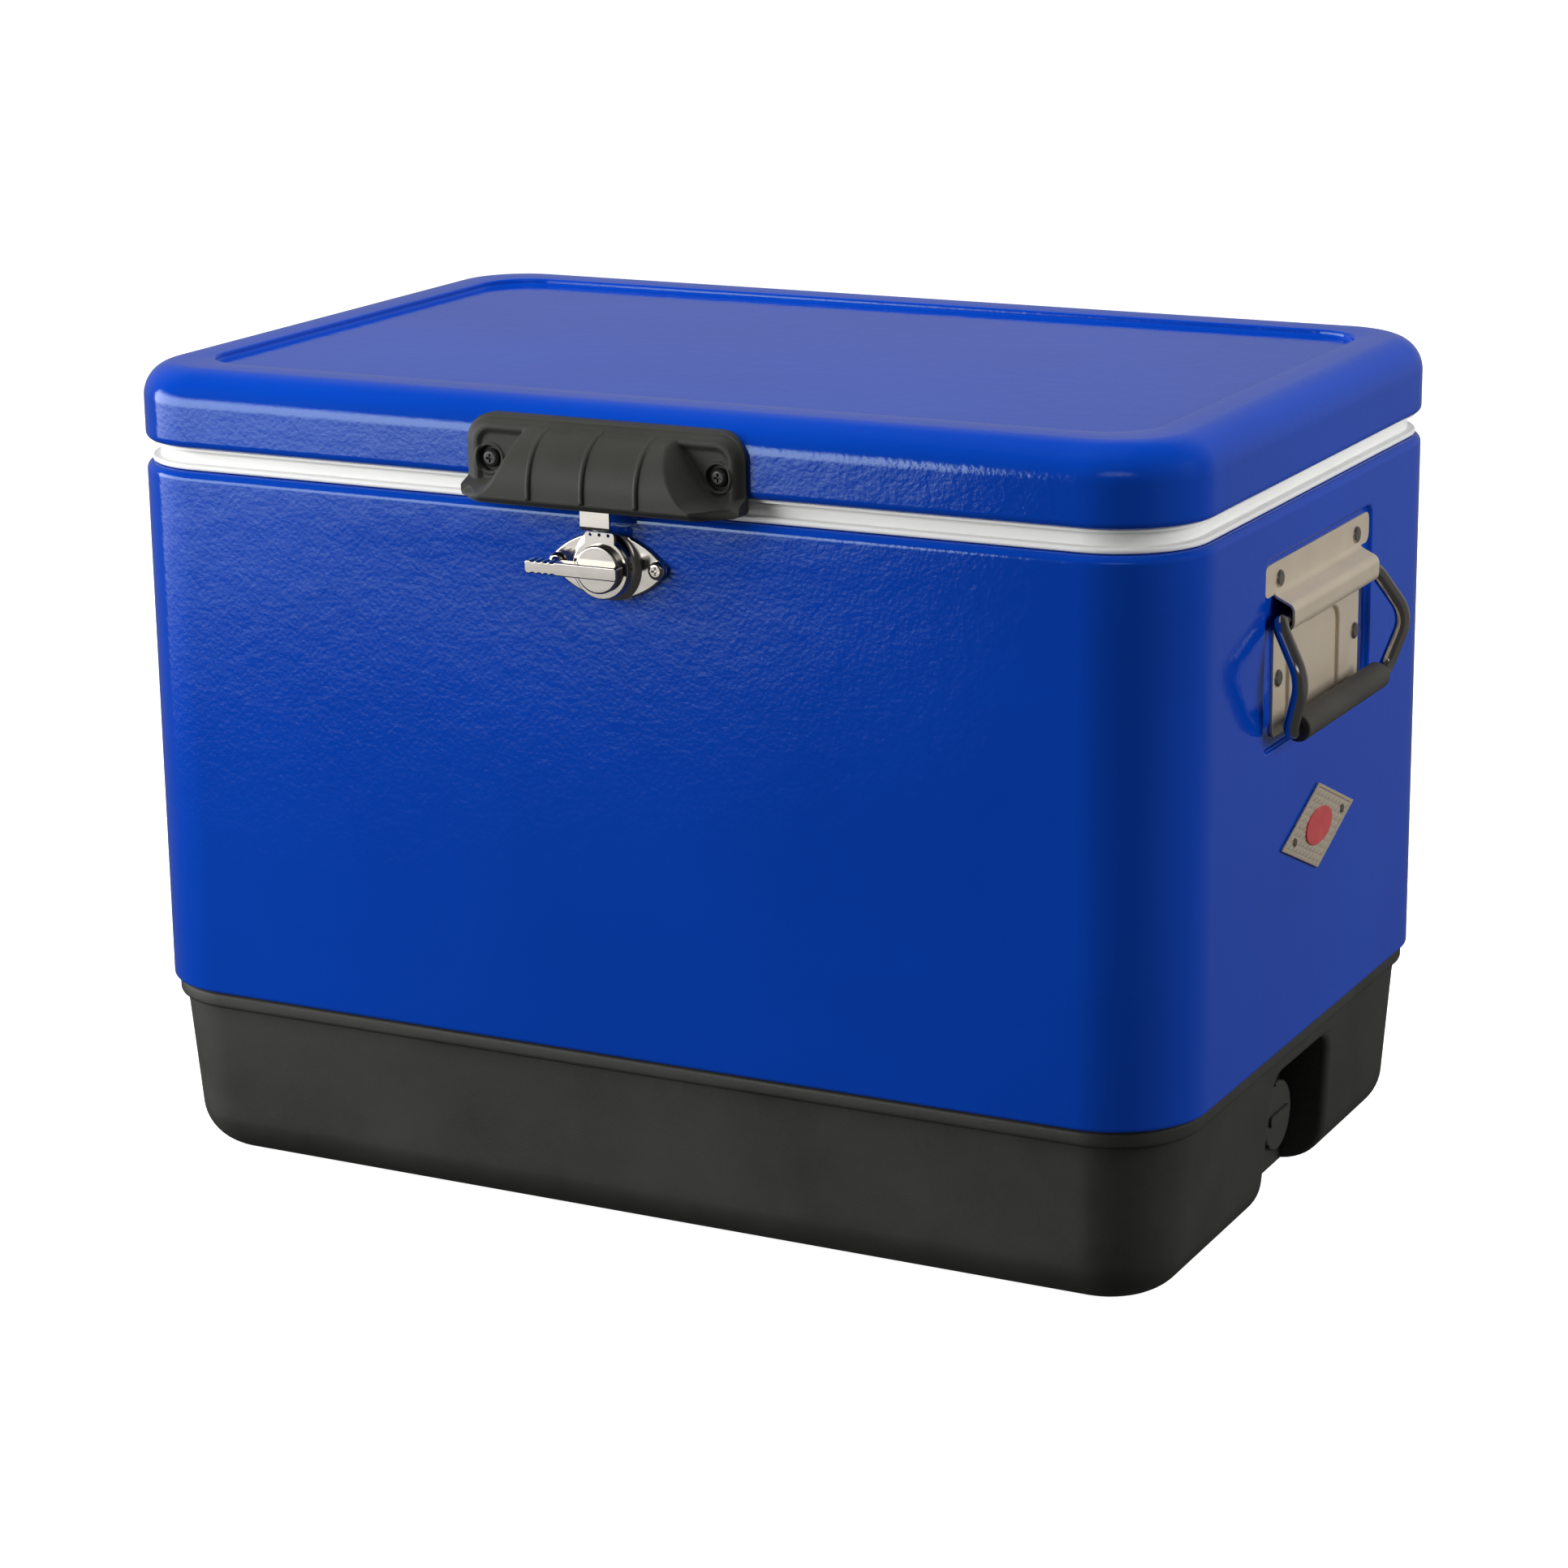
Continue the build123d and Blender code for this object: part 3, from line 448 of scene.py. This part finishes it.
def make_lid_shell():
    """Painted steel cap: rounded hem, generous top rounding and a sunk centre panel."""
    low, high = half_size("lid_shell")[2:]
    inner = list(reversed(lid_levels(SHEET, low, high)))
    points, faces = sweep(inner + lid_levels(0, low, high), spaced(-120, 120, 9), closed=False)
    lid = make_piece("painted_lid", points, faces, "blue_paint", "lid")
    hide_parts("lid_shell")


# ---------------------------------------------------------------- moulded base

BASE_INSET_LOW = 12.9
BASE_INSET_HIGH = 6.8
BASE_CORNER_LOW = 40.0
BASE_CORNER_HIGH = 43.0
BASE_WALL_TOP = 88.0
BASE_ROUND = 23.0
BASE_LIP_INSET = 3.0
BASE_LIP_ROUND = 2.5
BASE_WALL = 3.0
NOTCH_Y = 11.0
NOTCH_HALF_LOW = 46.5
NOTCH_HALF_HIGH = 42.0
NOTCH_TOP = 77.0
NOTCH_CORNER = 13.0
NOTCH_BACK = 264.0
NOTCH_ROUND = 4.0


def notch_half(z, grow):
    """Half-width of the drain notch at a level."""
    lean = NOTCH_HALF_LOW + (NOTCH_HALF_HIGH - NOTCH_HALF_LOW) * z / NOTCH_TOP
    rise = z - NOTCH_TOP + NOTCH_CORNER
    if rise <= 0:
        return lean + grow
    reach = NOTCH_CORNER + grow
    return lean - NOTCH_CORNER + sqrt(max(0.0, reach**2 - min(rise, reach) ** 2))


def notch_distance(y, z, grow):
    """Distance outside the drain notch's outline; negative inside it."""
    lean = NOTCH_HALF_LOW + (NOTCH_HALF_HIGH - NOTCH_HALF_LOW) * z / NOTCH_TOP
    across = abs(y - NOTCH_Y) - (lean - NOTCH_CORNER)
    rise = z - NOTCH_TOP + NOTCH_CORNER
    if across > 0 and rise > 0:
        return hypot(across, rise) - NOTCH_CORNER - grow
    return max(across, rise) - NOTCH_CORNER - grow


def base_ring_stops(z, grow):
    """Where the base's end walls have points: close together round the notch's outline."""
    beside = [-14, -7, -3, -0.03, 0, 0.3, 0.7, 1.2, 1.8, 2.5, 3.2, 4.0, 6, 12, 24, 40]
    half = notch_half(z, grow)
    right = [NOTCH_Y + half + s for s in beside]
    left = [NOTCH_Y - half - s for s in reversed(beside)]
    return left + right


def press_notch(x, y, z, grow):
    """Push the right end's wall in to the notch's back wall, with a rounded mouth."""
    if x < NOTCH_BACK - grow:
        return x, y, z
    outside = notch_distance(y, z, grow)
    if outside < -0.001:
        return NOTCH_BACK - grow, y, z
    if outside < NOTCH_ROUND and z < BASE_WALL_TOP:
        x -= NOTCH_ROUND - sqrt(max(0.0, NOTCH_ROUND**2 - (NOTCH_ROUND - outside) ** 2))
    return x, y, z


def base_levels(grow):
    """Section of the base's wall, from the middle of its floor to the shoulder under its lip."""
    half_x, half_y = CHEST_HALF
    levels = []

    def level(inset, z):
        share = z / (BASE_WALL_TOP + 1)
        lean = BASE_INSET_LOW + (BASE_INSET_HIGH - BASE_INSET_LOW) * share + grow + inset
        corner = BASE_CORNER_LOW + (BASE_CORNER_HIGH - BASE_CORNER_LOW) * share - grow - inset
        return half_x - lean, half_y - lean, corner, z

    radius = BASE_ROUND - grow
    for angle in spaced(0, 90, 14):
        inset = radius * (1 - sin(radians(angle)))
        levels.append(level(inset, grow + radius * (1 - cos(radians(angle)))))
    low_part = spaced(28, NOTCH_TOP - NOTCH_CORNER, 8)
    curve = [NOTCH_TOP - NOTCH_CORNER * (1 - sin(radians(a))) for a in spaced(6, 84, 14)]
    mouth = [NOTCH_TOP + grow + s for s in (-0.03, 0, 0.3, 0.7, 1.2, 1.8, 2.5, 3.2, 4.0)]
    heights = [z for z in low_part + curve if z < NOTCH_TOP + grow - 0.05]
    levels += [level(0, z) for z in heights + [m for m in mouth if m < BASE_WALL_TOP]]
    return levels


def make_base():
    """Black moulded tub: leaning walls, deep bottom rounding, rounded lip and the drain notch."""
    half_x, half_y = CHEST_HALF
    top = half_size("base_tub")[3]

    def lip(inset, z):
        return half_x - inset, half_y - inset, CORNER - inset, z

    inset, roll = BASE_LIP_INSET, BASE_LIP_ROUND
    shoulder = [lip(inset + 3.6, BASE_WALL_TOP)]
    shoulder += [lip(inset + roll + a, b) for a, b in arc(0, BASE_WALL_TOP + roll, roll, 270, 180, 6)]
    shoulder += [lip(inset + roll + a, b) for a, b in arc(0, top - roll, roll, 180, 90, 6)]
    shoulder += [lip(inset + 7, top), lip(inset + 7, BASE_WALL_TOP + 1)]
    inner = list(reversed(base_levels(BASE_WALL)))
    points, faces, starts = [], [], []
    for levels, grow in ((base_levels(0), 0), (shoulder, 0), (inner, BASE_WALL)):
        for size_x, size_y, corner, z in levels:
            ring = plan_ring(size_x, size_y, corner, base_ring_stops(min(z, BASE_WALL_TOP), grow))
            starts.append((len(points), len(ring)))
            notched = z < BASE_WALL_TOP
            points += [press_notch(x, y, z, grow) if notched else (x, y, z) for x, y in ring]
    for first, second in zip(starts, starts[1:]):
        faces += strip_faces(first, second)
    faces.append(tuple(reversed(range(starts[0][1]))))
    faces.append(tuple(range(starts[-1][0], starts[-1][0] + starts[-1][1])))
    base = make_piece("moulded_base", points, faces, "base_plastic", "chest")
    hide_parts("base_tub")


# ---------------------------------------------------------------- lid grip

GRIP_HALF = 78.0
GRIP_CORNER = 15.0
GRIP_LOW = 386.5
GRIP_HIGH = 427.0
GRIP_BACK = 195.1
GRIP_FRONT = 26.4
GRIP_FIELD = 4.5
GRIP_RIM = 6.0
GRIP_SKIRT = 10.5
GRIP_WALL = 3.0
SKIRT_TOP = 395.5
HOOD_SHOULDER = 394.5
HOOD_TOP = 422.0
BORDER_BEVEL = 6.2
SCREW_X = 64.0
SCREW_Z = 404.5
COUNTERBORE = 6.3
COUNTERBORE_FLOOR = 2.45
RIB_SPACING = 30.0
RIB_HALF = 1.5
RIB_HEIGHT = 1.3


def smooth_max(a, b, blend):
    """The larger of two heights, with a fillet where they meet."""
    overlap = max(blend - abs(a - b), 0) / blend
    return max(a, b) + overlap * overlap * blend / 4


def lid_curve(z):
    """How far the lid's front has curved back at a level."""
    over = max(0.0, z - (LID_TOP - LID_TOP_ROUND))
    return LID_TOP_ROUND - sqrt(LID_TOP_ROUND**2 - over**2)


def grip_flange(x, z):
    """Bevelled border that rises to a ridge, and the sunk field inside it; open at the bottom."""
    open_end = 100
    inside = -rounded_distance(x, z - GRIP_HIGH + open_end, GRIP_HALF, open_end, GRIP_CORNER)
    edge = 1.4 - lid_curve(z)
    border = edge + (GRIP_RIM - edge) * sin(pi / 2 * min(1.0, inside / BORDER_BEVEL))
    field = GRIP_FIELD + (GRIP_RIM - GRIP_FIELD) * (1 - ease(inside, 7.0, 10.0))
    return border if inside < BORDER_BEVEL else field


def hood_profile(z):
    """How far the hood stands out at a level, on its centre line."""
    if z < HOOD_SHOULDER:
        tuck = 1 - smooth((z - GRIP_LOW) / 4)
        return GRIP_FRONT - 2.2 * tuck**2
    if z > HOOD_TOP:
        return GRIP_FIELD - 2
    share = (z - HOOD_SHOULDER) / (HOOD_TOP - HOOD_SHOULDER)
    return GRIP_FIELD - 2 + (GRIP_FRONT - GRIP_FIELD + 2) * sqrt(max(0.0, 1 - share**2.15))


def grip_height(x, z):
    """How far the grip's front surface stands in front of the lid's front face."""
    across = abs(x)
    rise = min(1.0, max(0.0, (z - 391.0) / 31.0)) ** 0.58
    near = 58.0 - 19.0 * rise
    far = 80.0 - 6.0 * ease(z, GRIP_LOW, 391.0) - 30.0 * rise
    floor = GRIP_FIELD - 2 + (GRIP_SKIRT - GRIP_FIELD + 2) * (1 - ease(z, 391.0, SKIRT_TOP))
    body = floor + (hood_profile(z) - floor) * (1 - ease(across, near, far))
    if z < SKIRT_TOP:
        body = min(body, hood_profile(z))
    height = smooth_max(grip_flange(x, z), body, 2.0)
    for index in (-1, 0, 1):
        beside = abs(x - index * RIB_SPACING) / RIB_HALF
        end = ease(z, 389.5, 391.0) * (1 - ease(z, 421.5, 423.0))
        if beside < 1:
            height += RIB_HEIGHT * sqrt(1 - beside**2) * end
    bore = hypot(across - SCREW_X, z - SCREW_Z)
    height += 0.7 * (1 - ease(abs(bore - COUNTERBORE - 1.0), 0.4, 1.3))
    return height if bore > COUNTERBORE else COUNTERBORE_FLOOR


def grip_half_width(z):
    """Half-width of the grip's outline at a level."""
    over = z - GRIP_HIGH + GRIP_CORNER
    if over > 0:
        return GRIP_HALF - GRIP_CORNER + sqrt(max(0.0, GRIP_CORNER**2 - over**2))
    under = max(0.0, GRIP_LOW + 2.5 - z)
    return GRIP_HALF - 2.5 + sqrt(2.5**2 - under**2)


def grip_columns():
    """Places across the grip from -1 to 1, close together at the ribs and screws."""
    edges = [index * RIB_SPACING + side * RIB_HALF for index in (-1, 0, 1) for side in (-1, 1)]
    values = spaced(-GRIP_HALF, GRIP_HALF, 190)
    for index in (-1, 0, 1):
        centre = index * RIB_SPACING
        values = [v for v in values if abs(v - centre) > RIB_HALF + 0.4]
        values += [centre + RIB_HALF * sin(radians(a)) for a in spaced(-90, 90, 11)]
        values += [centre - RIB_HALF - 0.2, centre + RIB_HALF + 0.2]
    for side in (-1, 1):
        values = [v for v in values if abs(v - side * SCREW_X) > 8.5]
        values += [side * SCREW_X + s for s in spaced(-8.3, 8.3, 51)]
    return sorted(values)


def make_grip():
    """Black moulded lift grip, hollow behind for the fingers, as one closed skin."""
    columns = grip_columns()
    rows = spaced(GRIP_LOW, 396.0, 32) + spaced(396.4, 415.0, 56) + [
        GRIP_HIGH - GRIP_CORNER + GRIP_CORNER * sin(radians(a)) for a in spaced(13, 90, 28)
    ]
    front, back = [], []
    for z in rows:
        half = grip_half_width(z)
        for column in columns:
            x = column * half / GRIP_HALF
            out = -CHEST_HALF[1] - grip_height(x, z)
            wall = -GRIP_BACK + lid_curve(z)
            hollow = (1 - ease(abs(x), 43, 47)) * (1 - ease(z, 412, 417))
            front.append((x, out, z))
            back.append((x, wall + (min(out + GRIP_WALL, wall) - wall) * hollow, z))
    width, count = len(columns), len(front)
    faces = []
    for row in range(len(rows) - 1):
        for column in range(width - 1):
            a = row * width + column
            faces.append((a, a + 1, a + width + 1, a + width))
            faces.append((count + a, count + a + width, count + a + width + 1, count + a + 1))
    last = (len(rows) - 1) * width
    for column in range(width - 1):
        faces.append((column, count + column, count + column + 1, column + 1))
        faces.append((last + column, last + column + 1, count + last + column + 1, count + last + column))
    for row in range(len(rows) - 1):
        a, b = row * width, (row + 1) * width
        faces.append((a, b, count + b, count + a))
        a, b = a + width - 1, b + width - 1
        faces.append((a, count + a, count + b, b))
    grip = make_piece("moulded_grip", front + back, faces, "grip_plastic", "lid", 50)
    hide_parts("lid_grip")


# ---------------------------------------------------------------- nameplate

PLATE_CELLS = 9
PLATE_SHEET = 1.0
PLATE_FIELD = 0.895
PYRAMID_HEIGHT = 0.42


def make_nameplate():
    """Diamond plate with a raised plain border round rows of small pyramids."""
    low, high = MM_BOX["nameplate"]
    centre_y, centre_z = (low[1] + high[1]) / 2, (low[2] + high[2]) / 2
    half_y, half_z = (high[1] - low[1]) / 2, (high[2] - low[2]) / 2
    back, face, border = low[0], low[0] + PLATE_SHEET, high[0]

    def at(u, v, x):
        return x, centre_y + (u + v) * half_y / 2, centre_z + (v - u) * half_z / 2

    points, faces, starts = [], [], []
    rims = [
        (0.98, back), (1.0, back + 0.4), (1.0, border - 0.3), (0.985, border),
        (0.915, border), (0.9, border - 0.3), (PLATE_FIELD, face),
    ]
    corners = ((-1, -1), (1, -1), (1, 1), (-1, 1))
    for scale, x in rims:
        starts.append((len(points), 4))
        points += [at(u * scale, v * scale, x) for u, v in corners]
    faces.append(tuple(reversed(range(4))))
    for first, second in zip(starts, starts[1:]):
        faces += strip_faces(first, second)
    grid = len(points)
    steps = spaced(-PLATE_FIELD, PLATE_FIELD, PLATE_CELLS + 1)
    points += [at(u, v, face) for v in steps for u in steps]
    pitch = steps[1] - steps[0]
    for row in range(PLATE_CELLS):
        for column in range(PLATE_CELLS):
            tip = len(points)
            points.append(at(steps[column] + pitch / 2, steps[row] + pitch / 2, face + PYRAMID_HEIGHT))
            a = grid + row * (PLATE_CELLS + 1) + column
            square = (a, a + 1, a + PLATE_CELLS + 2, a + PLATE_CELLS + 1)
            faces += [(square[i], square[(i + 1) % 4], tip) for i in range(4)]
    plate = make_piece("embossed_nameplate", points, faces, "nameplate_metal", "chest", 8)
    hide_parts("nameplate")


# ---------------------------------------------------------------- studio

CAMERA_AZIMUTH = 27.23
CAMERA_ELEVATION = 15.452
CAMERA_ROLL = -0.734
CAMERA_DISTANCE = 2.2428
CAMERA_TARGET = Vector((-0.0052, 0.0003, 0.1931))
CAMERA_LENS = 94.43
ROOM_GREY = 0.05


def add_camera():
    """Camera at the product photograph's angle."""
    azimuth, elevation = radians(CAMERA_AZIMUTH), radians(CAMERA_ELEVATION)
    back = Vector(
        (sin(azimuth) * cos(elevation), -cos(azimuth) * cos(elevation), sin(elevation))
    )
    right = Vector((cos(azimuth), sin(azimuth), 0))
    up = back.cross(right)
    roll = radians(CAMERA_ROLL)
    rolled_right = cos(roll) * right + sin(roll) * up
    rolled_up = cos(roll) * up - sin(roll) * right
    data = bpy.data.cameras.new("camera")
    data.lens = CAMERA_LENS
    data.sensor_width = 36
    data.clip_start, data.clip_end = 0.05, 50
    camera = bpy.data.objects.new("camera", data)
    turn = Matrix((rolled_right, rolled_up, back)).transposed()
    camera.matrix_world = Matrix.Translation(CAMERA_TARGET + CAMERA_DISTANCE * back) @ turn.to_4x4()
    bpy.context.scene.collection.objects.link(camera)
    bpy.context.scene.camera = camera


def add_soft_box(name, place, aim, size, power):
    """Rectangular soft light that faces a point; neither the camera nor the gloss shows it."""
    data = bpy.data.lights.new(name, "AREA")
    data.shape = "RECTANGLE"
    data.size, data.size_y = size
    data.energy = power
    light = bpy.data.objects.new(name, data)
    light.location = place
    light.visible_camera = False
    light.visible_glossy = False
    light.rotation_mode = "QUATERNION"
    light.rotation_quaternion = (Vector(aim) - Vector(place)).to_track_quat("-Z", "Y")
    bpy.context.scene.collection.objects.link(light)


def sky_band(tree, value, edges):
    """Soft-edged band of a value: 0 below the first edge, 1 between the middle two, 0 past the last."""
    rise, fall = (tree.nodes.new("ShaderNodeMapRange") for _ in range(2))
    for node, low, high in ((rise, edges[0], edges[1]), (fall, edges[3], edges[2])):
        node.interpolation_type = "SMOOTHSTEP"
        node.inputs["From Min"].default_value = low
        node.inputs["From Max"].default_value = high
        tree.links.new(value, node.inputs["Value"])
    both = tree.nodes.new("ShaderNodeMath")
    both.operation = "MULTIPLY"
    tree.links.new(rise.outputs["Result"], both.inputs[0])
    tree.links.new(fall.outputs["Result"], both.inputs[1])
    return both.outputs["Value"]


def sky_patch(tree, azimuth, half_width, soft, heights, strength):
    """Soft patch of the surroundings: about an azimuth from -Y towards +X, between two heights."""
    place = tree.nodes.new("ShaderNodeTexCoord").outputs["Generated"]
    split = tree.nodes.new("ShaderNodeSeparateXYZ")
    tree.links.new(place, split.inputs["Vector"])
    aside = tree.nodes.new("ShaderNodeVectorMath")
    aside.operation = "DOT_PRODUCT"
    aside.inputs[1].default_value = (sin(radians(azimuth)), -cos(radians(azimuth)), 0)
    tree.links.new(place, aside.inputs[0])
    edge, core = cos(radians(half_width + soft)), cos(radians(half_width - soft))
    across = sky_band(tree, aside.outputs["Value"], (edge, core, 8, 9))
    upward = sky_band(tree, split.outputs["Z"], [sin(radians(h)) for h in heights])
    both = tree.nodes.new("ShaderNodeMath")
    both.operation = "MULTIPLY"
    tree.links.new(across, both.inputs[0])
    tree.links.new(upward, both.inputs[1])
    scaled = tree.nodes.new("ShaderNodeMath")
    scaled.operation = "MULTIPLY"
    scaled.inputs[1].default_value = strength
    tree.links.new(both.outputs["Value"], scaled.inputs[0])
    return scaled.outputs["Value"]


# Azimuth, half width, softness, four heights in degrees, brightness
SKY_PATCHES = [
    (-56, 32.2, 1.8, (-15, -4, 7, 19), 5.8),
    (-153, 60, 25, (-30, 4, 40, 80), 0.2),
    (110, 50, 20, (-60, -15, 30, 70), 0.06),
    (20, 24, 8, (12, 20, 40, 60), 1.2),
]


def add_surroundings():
    """Dim grey room with a few broad soft patches that the enamel and the metal reflect."""
    world = bpy.data.worlds.new("studio")
    bpy.context.scene.world = world
    world.use_nodes = True
    tree = world.node_tree
    total = None
    for patch in SKY_PATCHES:
        glow = sky_patch(tree, *patch)
        joined = tree.nodes.new("ShaderNodeMath")
        joined.operation = "ADD"
        joined.inputs[1].default_value = ROOM_GREY
        tree.links.new(glow, joined.inputs[0])
        if total is not None:
            tree.links.new(total, joined.inputs[1])
        total = joined.outputs["Value"]
    tree.links.new(total, tree.nodes["Background"].inputs["Color"])


def add_floor():
    """Broad pale floor that glows evenly, so that it stays white far from the lights."""
    mesh = bpy.data.meshes.new("floor")
    reach = 40
    mesh.from_pydata(
        [(-reach, -reach, 0), (reach, -reach, 0), (reach, reach, 0), (-reach, reach, 0)], [],
        [(0, 1, 2, 3)],
    )
    floor = bpy.data.objects.new("floor", mesh)
    bpy.context.scene.collection.objects.link(floor)
    g = Graph("floor", (0.8, 0.8, 0.8), 0.9)
    g.colour(g.mix(g.noise(3.0), (0.79, 0.79, 0.79), (0.81, 0.81, 0.81)))
    g.shader.inputs["Emission Color"].default_value = (1, 1, 1, 1)
    g.shader.inputs["Emission Strength"].default_value = 0.9
    mesh.materials.append(g.material)
    floor.visible_glossy = False
    floor.visible_diffuse = False


def add_studio():
    """Surroundings, floor and soft boxes."""
    add_surroundings()
    add_floor()
    add_soft_box("top", (-0.2, -0.1, 2.2), (0, 0, 0.3), (2.0, 1.4), 38)
    add_soft_box("key", (-0.95, -0.95, 0.75), (-0.1, -0.1, 0.2), (0.8, 0.8), 12.5)
    add_soft_box("right", (2.2, 0.5, 0.9), (0, 0, 0.2), (1.0, 1.2), 36)
    add_soft_box("back", (-0.8, 2.4, 1.4), (0, 0, 0.3), (1.6, 1.2), 20)


paint_nodes()
make_belt()
make_lid_shell()
make_base()
make_grip()
make_nameplate()
add_camera()
add_studio()

bpy.context.scene.view_settings.view_transform = "Standard"
